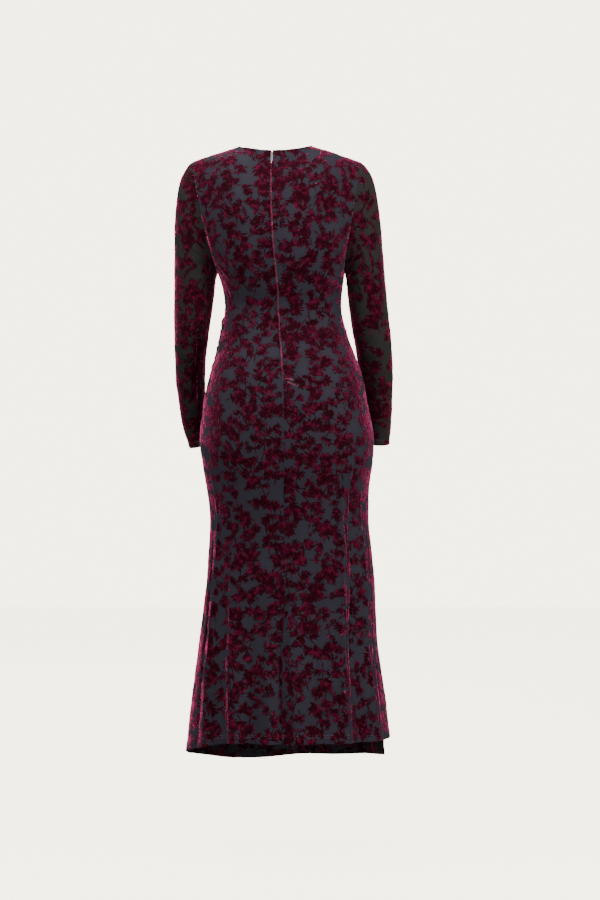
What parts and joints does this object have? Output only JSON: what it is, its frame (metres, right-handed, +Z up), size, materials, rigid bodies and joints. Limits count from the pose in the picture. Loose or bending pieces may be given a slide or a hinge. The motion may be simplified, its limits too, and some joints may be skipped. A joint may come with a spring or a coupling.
{
  "type": "wrap dress, worn",
  "caption": "Long-sleeved midaxi wrap dress in burgundy-on-charcoal burnout velvet, hollow as worn, gathered at the left waist, side slit, concealed back zip with a swinging pull.",
  "frame": {"origin": "middle of the neck opening, level with the shoulder seams' neck points, where the shoulders of the wearer hold the dress", "axes": "+Z up, the dress front faces -Y, +X is the left side of the dress"},
  "size_m": [0.46, 0.3026, 1.3021],
  "materials": {
    "velvet": "burnout velvet, burgundy pile in leaf clusters on a charcoal knit ground, raspberry sheen",
    "sleeve_velvet": "the same burnout velvet, unlined, so its ground looks slightly sheer and browner",
    "zip_tape": "matt woven tape",
    "zip_metal": "polished silver-coloured metal"
  },
  "bodies": {
    "dress": {"back_left": "velvet", "back_right": "velvet", "front_over": "velvet", "front_under": "velvet", "sleeve_left": "sleeve_velvet", "sleeve_right": "sleeve_velvet", "zip_tape_left": "zip_tape", "zip_tape_right": "zip_tape", "zip_slider": "zip_metal"},
    "pull_tab": {"zip_pull_tab": "zip_metal"}
  },
  "joints": [
    {"name": "pull_tab_hinge", "type": "hinge", "parent": "dress", "child": "pull_tab", "pos_m": [0.01006, 0.06233, -0.01925], "axis": [1, 0, 0], "range_deg": [0, 140]}
  ]
}
